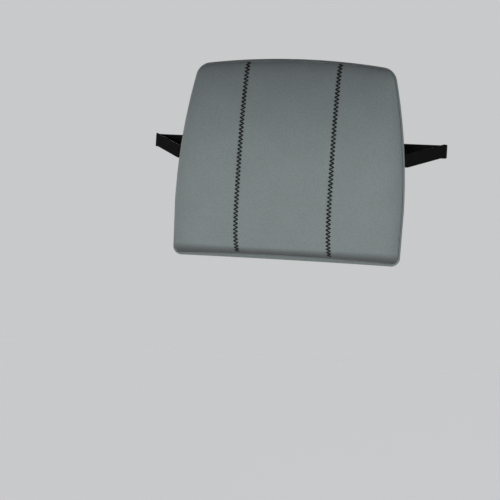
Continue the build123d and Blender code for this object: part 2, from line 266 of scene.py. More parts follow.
def tube(points, radius, sides=6, flat=1.0):
    """A lot for a thread along the points; flat is its depth as a share of its width."""
    p = np.asarray(points, float)
    tangent = np.gradient(p, axis=0)
    tangent /= np.maximum(np.linalg.norm(tangent, axis=1, keepdims=True), 1e-9)
    out = np.array([0.0, -1.0, 0.0])
    side = np.cross(tangent, out)
    side /= np.maximum(np.linalg.norm(side, axis=1, keepdims=True), 1e-9)
    lift = np.cross(side, tangent)
    turn = np.arange(sides) * 2 * math.pi / sides
    loops = p[:, None] + radius * (np.cos(turn)[None, :, None] * side[:, None]
                                   + flat * np.sin(turn)[None, :, None] * lift[:, None])
    ring = turn / (2 * math.pi) * radius * 6
    return swept(loops, lengths_along(p), ring)


# ======== the cushion's outline
class Outline:
    """A front-view outline of the cushion, drawn in by inset; gives points by share of height and width."""

    def __init__(self, inset, foot_lift=0.0, arch=1.0):
        self.inset = inset
        self.arch = arch
        self.foot = -HALF_HEIGHT + foot_lift + inset
        sag = HALF_HEIGHT - SHOULDER[1]
        self.top_radius = (SHOULDER[0] ** 2 + sag ** 2) / (2 * sag)
        narrow = HALF_WIDTH - SHOULDER[0]
        rise = SHOULDER[1] - WIDEST_Z
        self.side_radius = (rise ** 2 + narrow ** 2) / (2 * narrow)
        self.high = self.top_corner(TOP_ROUND - inset)
        self.low = self.foot_corner(FOOT_ROUND - inset)

    def side(self, z):
        if z > WIDEST_Z:
            r = self.side_radius
            return HALF_WIDTH - r + math.sqrt(r * r - (z - WIDEST_Z) ** 2) - self.inset
        slope = (HALF_WIDTH - FOOT_HALF_WIDTH) / (HALF_HEIGHT + WIDEST_Z)
        return HALF_WIDTH - slope * (WIDEST_Z - z) - self.inset

    def top(self, x):
        r = self.top_radius
        return HALF_HEIGHT - r + math.sqrt(r * r - x * x) - self.inset

    def bottom(self, x):
        return self.foot + self.arch * (1 - (x / FOOT_HALF_WIDTH) ** 2)

    def top_corner(self, radius):
        """Centre, radius and lowest height of the arc that joins the side's arc to the top's."""
        side_centre = np.array([HALF_WIDTH - self.side_radius, WIDEST_Z])
        top_centre = np.array([0.0, HALF_HEIGHT - self.top_radius])
        side_reach = self.side_radius - self.inset - radius
        top_reach = self.top_radius - self.inset - radius
        gap = top_centre - side_centre
        apart = np.linalg.norm(gap)
        along = (side_reach ** 2 - top_reach ** 2 + apart ** 2) / (2 * apart)
        across = math.sqrt(side_reach ** 2 - along ** 2)
        unit = gap / apart
        turned = np.array([-unit[1], unit[0]])
        both = [side_centre + unit * along + turned * across * way for way in (1, -1)]
        centre = max(both, key=lambda point: point[1])
        start = side_centre + (centre - side_centre) * (side_reach + radius) / side_reach
        return centre[0], centre[1], radius, start[1]

    def foot_corner(self, radius):
        """Centre, radius and highest height of the arc that joins the side to the bottom."""
        x = HALF_WIDTH - self.inset - radius
        for _ in range(6):
            z = self.bottom(x) + radius
            x = self.side(z) - radius
        return x, z, radius, z

    def limit(self, z):
        for (cx, cz, r, start), way in ((self.high, 1), (self.low, -1)):
            if way * (z - start) > 0:
                return cx + math.sqrt(max(0.0, r * r - (z - cz) ** 2))
        return self.side(z)

    def height(self, x, share):
        low = self.bottom(x)
        return low + share * (self.top(x) - low)

    def reach(self, share):
        """Half width of the row at this share of the height."""
        low, high = 0.0, HALF_WIDTH
        for _ in range(40):
            x = (low + high) / 2
            low, high = (x, high) if x < self.limit(self.height(x, share)) else (low, x)
        return low

    def grid(self, shares, columns):
        """x and z of a grid; columns are (fixed x, share of the room from there to the outline)."""
        x = np.zeros((len(shares), len(columns)))
        z = np.zeros_like(x)
        for r, share in enumerate(shares):
            reach = self.reach(share)
            for c, (near, part) in enumerate(columns):
                x[r, c] = near + math.copysign(reach - abs(near), near) * part if part else near
                z[r, c] = self.height(x[r, c], share)
        return x, z


# ======== padded front
FRONT = Outline(RIM, 1.0, 4.5)
FOOT_SHADE = (9.0, 6.0)  # height of the painted shade in the tuck at the middle, and how much taller it is at the corners
SIDE_PROFILE = [  # (height, depth) of the crown from the bottom crease to the top one
    (-146.5, CREASE), (-146.9, 6.5), (-146.0, 11), (-143.0, 17), (-137.2, 23.6), (-127, 30.6),
    (-110, 36.0), (-86, 39.2), (-60, 40), (-15, 39.6), (32, 37.2), (85, 31.0),
    (120, 24.0), (138, 17.5), (145.8, 10.5), (147, CREASE),
]
PLAN_PROFILE = [  # (distance from the centre line, depth)
    (0, 40), (40, 39.7), (SEAM_X, 39.0), (105, 37.4), (137, 34.2),
    (158, 27.5), (168.5, 18.5), (173.4, 9.5), (173.2, CREASE),
]
FOOT_Z, HEAD_Z = SIDE_PROFILE[0][0], SIDE_PROFILE[-1][0]


def fine_steps(length, first=0.6, growth=1.22, widest=2.8):
    """Distances from 0 to length that start fine and widen."""
    steps, at = [0.0], 0.0
    while at < length:
        at += min(widest, first * growth ** (len(steps) - 1))
        steps.append(at)
    return np.array(steps) * length / steps[-1]


profile = spline(SIDE_PROFILE, 200)
row_share = (profile[:, 0] - FOOT_Z) / (HEAD_Z - FOOT_Z)
row_crown = (profile[:, 1] - CREASE) / (PAD_DEPTH - CREASE)
plan = spline(PLAN_PROFILE, 2001)
plan_length = lengths_along(plan)
seam_length = float(np.interp(SEAM_X, plan[:1200, 0], plan_length[:1200]))
inner_steps = seam_length - fine_steps(seam_length)[::-1]
outer_steps = seam_length + fine_steps(plan_length[-1] - seam_length)


def plan_at(lengths):
    """Distance from the centre line and crown share at these lengths along the plan profile."""
    x = np.interp(lengths, plan_length, plan[:, 0])
    depth = np.interp(lengths, plan_length, plan[:, 1])
    return x, (depth - CREASE) / (PAD_DEPTH - CREASE)


def ripple(x, z):
    """Slow unevenness of the foam and the cloth, in millimetres."""
    slow = noise.noise(Vector((x / 52, z / 52, 3.1)))
    quick = noise.noise(Vector((x / 17, z / 17, 7.7)))
    return 0.55 * slow + 0.12 * quick


ZIG_STEP = 3.0  # height of one stitch of the zigzag


def seam_dip(x, z):
    """How far the zigzag pulls the cloth in at this place, with a pucker at each pair of stitches."""
    gap = abs(x) - SEAM_X
    pull = 0.55 * math.exp(-(gap / 1.6) ** 2) + 0.45 * math.exp(-(gap / 8) ** 2)
    return pull + 0.13 * math.cos(math.pi * z / ZIG_STEP) * math.exp(-((abs(gap) - 4) / 3) ** 2)


def front_grid(section):
    """Points of one panel's outer surface, before the cloth has settled."""
    if section == "centre":
        x0, crown = plan_at(inner_steps)
        x0 = np.concatenate([-x0[:0:-1], x0])
        crown = np.concatenate([crown[:0:-1], crown])
        x0[[0, -1]] = -SEAM_X, SEAM_X
        columns = [(x, 0) for x in x0]
    else:
        side = 1 if section == "left" else -1
        x0, crown = plan_at(outer_steps)
        share = (x0 - SEAM_X) / (PLAN_PROFILE[-1][0] - SEAM_X)
        columns = [(side * SEAM_X, s) for s in share]
        if side < 0:
            columns, crown = columns[::-1], crown[::-1]
    x, z = FRONT.grid(row_share, columns)
    high, wide = row_crown[:, None], crown[None, :]
    swell = high * wide / np.maximum(high + wide - high * wide, 1e-9)
    grid = np.stack([x, -CREASE - (PAD_DEPTH - CREASE) * swell, z], axis=2)
    return grid, swell


def foot_shade(grid):
    """How much painted shade each point gets in the tuck above the bottom binding: 1 at the crease, 0 on the
    front.
    """
    shade = np.zeros(grid.shape[:2])
    for r, c in np.ndindex(shade.shape):
        x, _, z = grid[r, c]
        tall = FOOT_SHADE[0] + FOOT_SHADE[1] * (x / FOOT_HALF_WIDTH) ** 2
        shade[r, c] = min(1.0, max(0.0, 1 - (z - FRONT.bottom(x)) / tall))
    return shade


def closed_form(step):
    """The whole padded front as one closed mesh, for the cloth to settle on."""
    grids = [front_grid(section)[0] for section in ("right", "centre", "left")]
    whole = np.concatenate([grids[0], grids[1][:, 1:-1], grids[2]], axis=1)[::step]
    flat = whole.copy()
    flat[..., 1] = -1.0
    return shell("settling", whole, flat)


VOXEL = 5.5
PRESSURE = 4.0
SETTLING_FRAMES = 20
HELD_DEPTH = 8.0  # cloth nearer the rear than this is held by the binding
HELD_BY_SEAM = 3.2  # cloth within this distance of a seam is held by it
CLOTH_CAP = 5.0  # the most that cloth may move as it settles
CLOTH_SHARE = 0.3  # the foam holds the cloth, so only this share of the swelling shows


def evenly_meshed(form):
    """Replaces a form by a copy of it with even faces."""
    remesh = form.modifiers.new("even", "REMESH")
    remesh.mode = "VOXEL"
    remesh.voxel_size = VOXEL * MM
    depsgraph = bpy.context.evaluated_depsgraph_get()
    mesh = bpy.data.meshes.new_from_object(form.evaluated_get(depsgraph))
    even = bpy.data.objects.new("settling_even", mesh)
    bpy.context.scene.collection.objects.link(even)
    bpy.data.objects.remove(form)
    return even


def settled_moves():
    """How sewn cloth over foam settles: (movements, tree of the points that move), by cloth simulation."""
    even = evenly_meshed(closed_form(2))
    rest = np.array([v.co for v in even.data.vertices]) / MM
    held = even.vertex_groups.new(name="held")
    seam = np.abs(np.abs(rest[:, 0]) - SEAM_X) < HELD_BY_SEAM
    held.add(np.nonzero((rest[:, 1] > -HELD_DEPTH) | seam)[0].tolist(), 1.0, "REPLACE")
    cloth = even.modifiers.new("cloth", "CLOTH")
    cloth.settings.vertex_group_mass = "held"
    cloth.settings.use_pressure = True
    cloth.settings.uniform_pressure_force = PRESSURE
    cloth.settings.effector_weights.gravity = 0.0
    cloth.settings.quality = 5
    scene = bpy.context.scene
    for frame_number in range(1, SETTLING_FRAMES + 1):
        scene.frame_set(frame_number)
    shaped = even.evaluated_get(bpy.context.evaluated_depsgraph_get()).to_mesh()
    moves = np.array([v.co for v in shaped.vertices]) / MM - rest
    bpy.data.objects.remove(even)
    scene.frame_set(1)
    tree = KDTree(len(rest))
    for i, point in enumerate(rest):
        tree.insert(point, i)
    tree.balance()
    return moves, tree


def swelling(point, normal, settled):
    """How far the settled cloth stands out along the normal at this point."""
    moves, tree = settled
    near = tree.find_n(point, 6)
    weights = [1 / (distance + 1.5) ** 2 for _, _, distance in near]
    swell = sum(w * moves[i] for w, (_, i, _) in zip(weights, near)) / sum(weights)
    return CLOTH_SHARE * CLOTH_CAP * math.tanh(float(swell @ normal) / CLOTH_CAP)


def settle(grid, crown, settled):
    """Moves a panel's grid with the settled cloth and adds the unevenness and the seams' pull."""
    normal = grid_normals(grid)
    out = grid.copy()
    for r, c in np.ndindex(crown.shape):
        x, _, z = grid[r, c]
        amount = swelling(grid[r, c], normal[r, c], settled) if settled else 0.0
        fade = min(1.0, crown[r, c] * 2.5)
        amount += ripple(x, z) * fade - seam_dip(x, z) * min(1.0, 0.25 + crown[r, c] * 2)
        out[r, c] += normal[r, c] * amount
    return out


SECTIONS = ("centre", "left", "right")
SIDES = ((1, "left"), (-1, "right"))
BODY = {"centre": "centre_section", "left": "left_wing", "right": "right_wing"}


def attach(obj, section):
    """Rides on the centre; any other piece has its place baked into its points and rides on no body."""
    if section == "centre":
        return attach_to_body(obj, BODY["centre"])
    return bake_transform(obj)


def make_panel(section, settled):
    """One padded panel of the front cover; gives the points of its outer surface."""
    grid, crown = front_grid(section)
    grid = settle(grid, crown, settled)
    inner = grid - grid_normals(grid) * (COVER - 0.1)
    # the panel's "edge" attribute is painted shade in the tuck above the bottom binding
    panel = shell(f"front_panel_{section}", grid, inner, foot_shade(grid))
    stand_in(panel, f"front_cover_{section}", "cover_fabric")
    attach(panel, section)
    return grid


def surface_tree(grid):
    """A tree that finds where a line meets a grid's surface."""
    faces = grid_faces(*grid.shape[:2])
    return BVHTree.FromPolygons([Vector(p) for p in grid.reshape(-1, 3)], faces.tolist())


settled = settled_moves()
panel_grids = {section: make_panel(section, settled) for section in SECTIONS}
front_trees = {section: surface_tree(grid) for section, grid in panel_grids.items()}


def front_surface(x, z):
    """Point and normal on the padded front at this place, or None past its edge."""
    section = "centre" if abs(x) <= SEAM_X else ("left" if x > 0 else "right")
    ahead = Vector((x, -2 * PAD_DEPTH, z))
    hit, normal, _, _ = front_trees[section].ray_cast(ahead, Vector((0, 1, 0)))
    if hit is None:
        return None
    return np.array(hit), np.array(normal)


# ======== foam
FOAM_INSET = 2.4  # the foam lies this far under the front cover's outer surface
FOAM_BACK = -COVER - 0.2
FOLD_ROOM = 12.5  # a wing's foam slopes back from its seam by this much at the rear, to let it fold


def slope_seam_face(part, side):
    """Draws a wing's foam in from the seam, more towards the rear."""
    depth = part[:, [0 if side > 0 else -1], 1] / HINGE_Y
    near = SEAM_X + 0.5 + FOLD_ROOM * (1 - np.clip(depth, 0, 1))
    outward = side * part[..., 0]
    far = outward.max(axis=1, keepdims=True)
    share = (outward - SEAM_X) / np.maximum(far - SEAM_X, 1e-6)
    part[..., 0] = side * (near + np.clip(share, 0, 1) * (far - near))


def make_foam(section):
    """The block of foam in one panel."""
    grid = panel_grids[section][::5]
    cols = grid.shape[1]
    grid = grid[:, sorted({cols - 1, *range(0, cols, 4)})]
    front = grid - grid_normals(grid) * FOAM_INSET
    back = front.copy()
    back[..., 1] = FOAM_BACK
    for part in (front, back):
        if section == "centre":
            part[..., 0] *= (SEAM_X - 0.3) / SEAM_X
        else:
            slope_seam_face(part, 1 if section == "left" else -1)
    foam = shell(f"foam_block_{section}", front, back)
    stand_in(foam, f"foam_{section}", "foam")
    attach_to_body(foam, BODY[section])


for section in SECTIONS:
    make_foam(section)


# ======== edge binding
def even_ends(count):
    """Shares from 0 to 1 that crowd together at both ends, for rounded corners."""
    return (1 - np.cos(np.linspace(0, math.pi, count))) / 2


def rim_line(outline, section_columns=46, side_rows=150):
    """The outline as one anticlockwise line seen by the sitter, with points on both seams."""
    low_reach, high_reach = outline.reach(0), outline.reach(1)
    inner = np.linspace(-SEAM_X, SEAM_X, section_columns)
    low_wing = np.linspace(SEAM_X, low_reach, 30)[1:]
    high_wing = np.linspace(SEAM_X, high_reach, 22)[1:]
    low = np.concatenate([-low_wing[::-1], inner, low_wing])
    high = np.concatenate([-high_wing[::-1], inner, high_wing])
    up = even_ends(side_rows)[1:-1]
    line = [(x, outline.bottom(x)) for x in low]
    line += [(outline.reach(s), outline.height(outline.reach(s), s)) for s in up]
    line += [(x, outline.top(x)) for x in high[::-1]]
    line += [(-outline.reach(s), outline.height(outline.reach(s), s)) for s in up[::-1]]
    line = np.array(line)
    apart = np.linalg.norm(line - np.roll(line, 1, axis=0), axis=1)
    return line[apart > 0.2]


REAR_EDGE = Outline(0)
rear_rim = rim_line(REAR_EDGE)
crease_rim = rim_line(FRONT, 120, 400)
along = np.roll(rear_rim, -1, axis=0) - np.roll(rear_rim, 1, axis=0)
inward = np.stack([-along[:, 1], along[:, 0]], axis=1)
inward /= np.linalg.norm(inward, axis=1, keepdims=True)
room = np.linalg.norm(rear_rim[:, None] - crease_rim[None], axis=2).min(axis=1)


def binding_section(width):
    """Cross-section of the binding where it shows this wide: (distance inwards from its edge, depth)."""
    return [
        (1.6, 0.0), (0.7, 0.25), (0.15, 0.9), (0.0, 2.0), (0.2, 3.2), (0.8, 4.2), (1.6, 4.75),
        (width * 0.55 + 0.2, 5.0), (width - 0.75, 5.15), (width - 0.15, 4.5), (width + 0.1, 3.4),
        (width + 2.2, 2.3), (width + 2.4, 1.2), (3.4, 1.0), (3.2, 0.25), (2.6, 0.0),
    ]


def binding_lot(indices):
    """Part of the binding through these points of the rim."""
    loops = []
    for i in indices:
        (x, z), (inward_x, inward_z) = rear_rim[i], inward[i]
        uneven = 1 + 0.05 * noise.noise(Vector((x / 14, z / 14, 1.3)))
        section = binding_section(room[i])
        loops.append([(x + inward_x * a, -depth * uneven, z + inward_z * a) for a, depth in section])
    ring = lengths_along(np.array(binding_section(4.0)))
    return swept(np.array(loops), lengths_along(rear_rim[indices]), ring)


def at_seam(x, low):
    """Number of the rim point on the seam at this x, on the bottom edge or the top one."""
    fits = [i for i, (px, pz) in enumerate(rear_rim) if abs(px - x) < 1e-6 and (pz < 0) == low]
    return fits[0]


# painted shade on the binding: darker along the foot, and darker still in the crease
FOOT_PAINTED_SHADE = 0.17
CREASE_PAINTED_SHADE = 0.26


def paint_foot_shade(binding):
    """Paints shade on the binding along the foot, most in the crease against the padded front."""
    shade_values = binding.data.attributes.new("edge", "FLOAT", "POINT")
    for point, value in zip(binding.data.vertices, shade_values.data):
        x, z = point.co.x / MM, point.co.z / MM
        inwards = (z - REAR_EDGE.bottom(x)) / (FRONT.bottom(x) - REAR_EDGE.bottom(x))
        fade = min(1.0, max(0.0, (FOOT_HALF_WIDTH - abs(x)) / FOOT_ROUND))
        if inwards < 1.6:
            value.value = fade * (FOOT_PAINTED_SHADE + CREASE_PAINTED_SHADE * min(1.0, max(0.0, inwards)) ** 4)


def binding_runs():
    """First and last rim point of each length of the binding, section by section."""
    low_right, low_left = at_seam(-SEAM_X, True), at_seam(SEAM_X, True)
    high_left, high_right = at_seam(SEAM_X, False), at_seam(-SEAM_X, False)
    return {
        "centre": [(low_right, low_left), (high_left, high_right)],
        "left": [(low_left, high_left)],
        "right": [(high_right, low_right + len(rear_rim))],
    }


for section, runs in binding_runs().items():
    lots = [binding_lot([i % len(rear_rim) for i in range(a, b + 1)]) for a, b in runs]
    binding = joined(f"binding_{section}", lots)
    stand_in(binding, f"edge_binding_{section}", "cover_fabric")
    paint_foot_shade(binding)
    attach(binding, section)


# ======== zigzag seams
ZIG_HALF = 3.45  # the zigzag swings this far to each side of the seam
THREAD = 1.0  # the thread's half width
THREAD_FLAT = 0.7  # its depth as a share of its width


def along_turns(turns, count):
    """x, z and share of the way of points along each straight of a zigzag."""
    for (x0, z0), (x1, z1) in zip(turns, turns[1:]):
        for t in np.linspace(0, 1, count)[:-1]:
            yield x0 + (x1 - x0) * t, z0 + (z1 - z0) * t, t


def stitch_heights(inner_x, outer_x):
    """Heights of the zigzag's turns, evenly spaced along the padded front's surface."""
    fine = np.linspace(FRONT.bottom(SEAM_X), FRONT.top(SEAM_X), 800)
    fine = np.array([z for z in fine if front_surface(inner_x, z) and front_surface(outer_x, z)])[6:-6]
    run = lengths_along(np.array([front_surface(inner_x, z)[0] for z in fine]))
    stitches = round(run[-1] / ZIG_STEP)
    return np.interp(np.linspace(0, run[-1], stitches + 1), run, fine)


def make_zigzag(side, section):
    """The zigzag seam between the centre and one wing; each stitch dips into the cloth at its ends."""
    heights = stitch_heights(side * (SEAM_X - ZIG_HALF), side * (SEAM_X + ZIG_HALF))
    turns = [(side * SEAM_X + ZIG_HALF * (-1) ** k, z) for k, z in enumerate(heights)]
    points = []
    for x, z, t in along_turns(turns, 8):
        hit, normal = front_surface(x, z)
        lift = 0.26 - 0.75 * (2 * t - 1) ** 6
        points.append(hit + np.sign(-normal[1]) * normal * lift)
    seam = joined(f"zigzag_thread_{section}", [tube(points, THREAD, 8, THREAD_FLAT)])
    stand_in(seam, f"zigzag_stitch_{section}", "thread")
    attach(seam, section)


for side, section in SIDES:
    make_zigzag(side, section)


# ======== rear
REAR = Outline(4.7)
WEB_RIB = 1.44  # spacing of the gathered web's folds
ROLLED_IN = 0.75  # a rear panel turns in by this much at its borders


def rear_columns(section):
    """Columns of a rear panel's grid, and the distance of its seam edge from the centre line."""
    if section == "centre":
        span = SEAM_X - fine_steps(SEAM_X, 0.5, 1.25, 4.0)
        return [(-x, 0) for x in span] + [(x, 0) for x in span[-2::-1]], SEAM_X
    side = 1 if section == "left" else -1
    steps = fine_steps(1.0, 0.006, 1.25, 0.04)
    both_ways = np.unique(np.round(np.concatenate([steps / 2, 1 - steps / 2]), 9))
    return [(side * GROOVE_X, share) for share in both_ways][::side], GROOVE_X


def rear_grid(columns, seam_edge):
    """Points of a rear panel's outer surface; it rounds off at its borders."""
    shares = even_ends(110)
    x, z = REAR.grid(shares, columns)
    y = np.zeros_like(x)
    for r, share in enumerate(shares):
        reach = REAR.reach(share)
        for c, (px, pz) in enumerate(zip(x[r], z[r])):
            to_rim = min(reach - abs(px), REAR.top(px) - pz, pz - REAR.bottom(px))
            gap = max(0, min(to_rim, abs(abs(px) - seam_edge)))
            uneven = 0.05 * noise.noise(Vector((px / 30, pz / 30, 5.5)))
            y[r, c] = uneven - 0.05 - ROLLED_IN * math.exp(-gap / 1.3)
    return np.stack([x, y, z], axis=2)


def to_cover_depth(outer):
    """The same points on the rear cover's inner side."""
    inner = outer.copy()
    inner[..., 1] = -COVER
    return inner


def make_rear_panel(section):
    """One panel of the rear cover, stretched over the foam."""
    outer = rear_grid(*rear_columns(section))
    rear = shell(f"rear_panel_{section}", to_cover_depth(outer), outer)
    stand_in(rear, f"rear_cover_{section}", "rear_fabric")
    attach(rear, section)


def make_web(side, section):
    """The gathered strip at the bottom of the groove behind one seam."""
    shares = np.linspace(-0.004, 1.004, 120)
    ribs = np.linspace(SEAM_X + 0.05, GROOVE_X - 0.05, 36)
    x, z = REAR.grid(shares, [(side * rib, 0) for rib in ribs][::side])
    across = np.abs(x) - SEAM_X
    wave = 0.22 * np.cos(across * 2 * math.pi / WEB_RIB)
    from_end = np.clip(np.minimum(shares, 1 - shares) * 2 * HALF_HEIGHT / 9, 0, 1)[:, None]
    sag = 0.5 * np.sin(across / (GROOVE_X - SEAM_X) * math.pi) * from_end
    outer = np.stack([x, -0.45 - sag + wave, z], axis=2)
    web = shell(f"stretch_web_{section}", to_cover_depth(outer), outer)
    stand_in(web, f"groove_web_{section}", "rear_fabric")
    attach(web, section)


for section in SECTIONS:
    make_rear_panel(section)
for side, section in SIDES:
    make_web(side, section)


# ======== strap
def strap_ring(ribs=14, across=56):
    """Cross-section of ribbed elastic: (offset through the thickness, offset across the width)."""
    v = np.linspace(-STRAP_WIDTH / 2, STRAP_WIDTH / 2, across + 1)
    edge = np.clip((STRAP_WIDTH / 2 - np.abs(v)) / 0.7, 0, 1)
    half = STRAP_THICK / 2 * np.sqrt(1 - (1 - edge) ** 2 * 0.85)
    half = half - 0.07 * (1 - np.cos(v / STRAP_WIDTH * ribs * 2 * math.pi)) / 2
    up = [(h, w) for h, w in zip(half, v)]
    down = [(-h, w) for h, w in zip(half[::-1], v[::-1])]
    return np.array(up + down)


RING = strap_ring()
RING_LENGTH = lengths_along(RING)


def strap(name, path, node):
    """Elastic along a path of (x, y, z) middle points; its width stays upright."""
    p = np.asarray(path, float)
    tangent = np.gradient(p, axis=0)[:, :2]
    tangent /= np.linalg.norm(tangent, axis=1, keepdims=True)
    across = np.stack([tangent[:, 1], -tangent[:, 0]], axis=1)
    loops = np.zeros((len(p), len(RING), 3))
    loops[..., 0] = p[:, None, 0] + across[:, None, 0] * RING[None, :, 0]
    loops[..., 1] = p[:, None, 1] + across[:, None, 1] * RING[None, :, 0]
    loops[..., 2] = p[:, None, 2] + RING[None, :, 1]
    obj = joined(name, [swept(loops, lengths_along(p), RING_LENGTH)])
    stand_in(obj, node, "elastic")
    return obj


def stepped(points, step=1.2):
    """Points along straight runs, close enough together to bend."""
    out = [np.array(points[0], float)]
    for a, b in zip(points, points[1:]):
        a, b = np.array(a, float), np.array(b, float)
        pieces = max(1, int(np.ceil(np.linalg.norm(b - a) / step)))
        out += [a + (b - a) * k / pieces for k in range(1, pieces + 1)]
    return np.array(out)


def arc_line(start, heading, radius, angle, z, step=0.5):
    """Points of a left-hand turn in plan."""
    heading, angle = math.radians(heading), math.radians(angle)
    cx, cy = start[0] - radius * math.sin(heading), start[1] + radius * math.cos(heading)
    turns = heading + np.linspace(0, angle, max(6, int(radius * angle / step)))
    return np.array([(cx + radius * math.sin(t), cy - radius * math.cos(t), z) for t in turns])


def rounded(points, radius, z):
    """Plan points with rounded corners, as a path at height z."""
    p = [np.array(q, float) for q in points]
    out = [p[0]]
    for a, b, c in zip(p, p[1:], p[2:]):
        u, w = (a - b) / np.linalg.norm(a - b), (c - b) / np.linalg.norm(c - b)
        half = math.acos(max(-1.0, min(1.0, float(u @ w)))) / 2
        back = radius / math.tan(half)
        mid = b + (u + w) / np.linalg.norm(u + w) * radius / math.sin(half)
        first, last = b + u * back, b + w * back
        a0 = math.atan2(*(first - mid)[::-1])
        a1 = math.atan2(*(last - mid)[::-1])
        sweep = (a1 - a0 + math.pi) % (2 * math.pi) - math.pi
        for t in np.linspace(0, 1, max(4, int(abs(sweep) * radius / 0.25))):
            out.append(mid + radius * np.array([math.cos(a0 + sweep * t), math.sin(a0 + sweep * t)]))
    out.append(p[-1])
    flat = stepped([(q[0], q[1], z) for q in out], 1.0)
    keep = [0] + [i for i in range(1, len(flat)) if np.linalg.norm(flat[i] - flat[i - 1]) > 1e-4]
    return flat[keep]


def mirrored(path, side):
    path = np.array(path, float)
    path[:, 0] *= side
    return path


TURN = 41.0  # the side strap leaves the cushion at this angle, seen from above
ANCHOR_FROM = cad("strap_anchor_left")[0][0]
ANCHOR_BEND = 172.0
BEND_RADIUS = 6.0
CORNER_RADIUS = 10.0
SIDE_LENGTH = 62.0
ANCHOR_Y = STRAP_THICK / 2


def wing_routes():
    """Routes of the left strap from its sewn end: anchor, free side and the turn behind the chair."""
    flat_end = [(ANCHOR_FROM, ANCHOR_Y, ANCHOR_Z), (ANCHOR_BEND, ANCHOR_Y, ANCHOR_Z)]
    bend = arc_line(flat_end[1], 0, BEND_RADIUS, TURN, ANCHOR_Z)
    turn = math.radians(TURN)
    side_end = bend[-1] + np.array([math.cos(turn), math.sin(turn), 0]) * SIDE_LENGTH
    side_end[2] = STRAP_Z
    corner = arc_line(side_end, TURN, CORNER_RADIUS, 180 - TURN, STRAP_Z)
    return np.concatenate([stepped(flat_end), bend[1:]]), stepped([bend[-1], side_end]), corner


anchor_route, side_route, corner_route = wing_routes()
CORNER_X = corner_route[-1][0]


def make_wing_strap(side, section):
    """Elastic from where it is sewn to a wing to where it turns behind the chair."""
    anchor = strap(f"elastic_anchor_{section}", mirrored(anchor_route, side), f"strap_anchor_{section}")
    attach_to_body(anchor, BODY[section])
    free = strap(f"elastic_side_{section}", mirrored(side_route, side), f"strap_side_{section}")
    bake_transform(free)
    corner = strap(f"elastic_corner_{section}", mirrored(corner_route, side), f"strap_corner_{section}")
    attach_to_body(corner, BODY["centre"])


for side, section in SIDES:
    make_wing_strap(side, section)


WRAP = 16.0  # length of elastic that lies doubled beside a bar
INSERT_FAR = INSERT_BAR_X + WRAP + 6
SOCKET_FAR = SOCKET_BAR_X - WRAP
WEAVE_NEAR, WEAVE_FAR = ADJUSTER_X + WRAP, ADJUSTER_X - WRAP
FOLD_CORNER = 0.9  # radius of elastic folded sharply over a bar
WEAVE_CORNER = 1.6
BAR_DEPTH = 3.4


def bar_fold(bar_x, away, main_length):
    """Plan points of elastic folded round a buckle bar; away is the direction it leaves in."""
    layer = LAYER_STEP / 2
    leg = (BAR_DEPTH + STRAP_THICK) / 2 + LAYER_GAP
    past = bar_x - away * (BAR_WIDTH / 2 + LAYER_GAP + STRAP_THICK / 2)
    return [
        (bar_x + away * main_length, BUCKLE_Y + layer),
        (bar_x + away * 10, BUCKLE_Y + layer),
        (bar_x + away * BAR_WIDTH, BUCKLE_Y + leg),
        (past, BUCKLE_Y + leg),
        (past, BUCKLE_Y - leg),
        (bar_x + away * BAR_WIDTH, BUCKLE_Y - leg),
        (bar_x + away * 10, BUCKLE_Y - layer),
        (bar_x + away * WRAP, BUCKLE_Y - layer),
    ]


def make_fold(name, node, bar_x, away, main_length, body):
    """Elastic folded round one bar of the buckle."""
    route = rounded(bar_fold(bar_x, away, main_length), FOLD_CORNER, STRAP_Z)
    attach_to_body(strap(name, route, node), body)


def straight_strap(name, node, x0, x1, y=STRAP_Y):
    """Elastic behind the chair, straight from x0 to x1."""
    return strap(name, stepped([(x0, y, STRAP_Z), (x1, y, STRAP_Z)]), node)


def stretch_between(piece):
    """Bakes a straight strap's place into its points; it rides on no body."""
    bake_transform(piece)


def weave_routes():
    """Plan points of the elastic over the adjuster's bars, and of its end sewn round the middle bar."""
    sewn_top = ADJUSTER_Y + (ADJUSTER_THICK + STRAP_THICK) / 2 + LAYER_GAP
    over_y = sewn_top + LAYER_STEP
    under_y = STRAP_Y - LAYER_STEP
    over = [
        (WEAVE_FAR, STRAP_Y), (ADJUSTER_X - 9.4, STRAP_Y), (ADJUSTER_X - 3.4, over_y),
        (ADJUSTER_X + 3.4, over_y), (ADJUSTER_X + 9.4, STRAP_Y), (WEAVE_NEAR, STRAP_Y),
    ]
    sewn_side = ADJUSTER_X - BAR_WIDTH / 2 - LAYER_GAP - STRAP_THICK / 2
    sewn = [
        (WEAVE_NEAR, under_y), (ADJUSTER_X + 8.6, under_y), (ADJUSTER_X + 4.2, STRAP_Y),
        (sewn_side, STRAP_Y), (sewn_side, sewn_top), (ADJUSTER_X + 2.2, sewn_top),
    ]
    return rounded(over, WEAVE_CORNER, STRAP_Z), rounded(sewn, FOLD_CORNER, STRAP_Z)


make_fold("elastic_fold_insert", "strap_fold_insert", INSERT_BAR_X, 1, WRAP + 6, "buckle_insert")
back_left = straight_strap("elastic_back_left", "strap_back_left", CORNER_X, INSERT_FAR)
stretch_between(back_left)
make_fold("elastic_fold_socket", "strap_fold_socket", SOCKET_BAR_X, -1, WRAP, BODY["centre"])
for name, y in (("outer_layer", STRAP_Y), ("return_layer", STRAP_Y - LAYER_STEP)):
    layer = straight_strap(f"elastic_{name}", f"strap_{name}", SOCKET_FAR, WEAVE_NEAR, y)
    stretch_between(layer)
back_right = straight_strap("elastic_back_right", "strap_back_right", -CORNER_X, WEAVE_FAR)
stretch_between(back_right)
over_route, sewn_route = weave_routes()
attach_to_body(strap("elastic_weave", over_route, "strap_weave_adjuster"), "adjuster")
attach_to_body(strap("elastic_end", sewn_route, "strap_end_adjuster"), "adjuster")


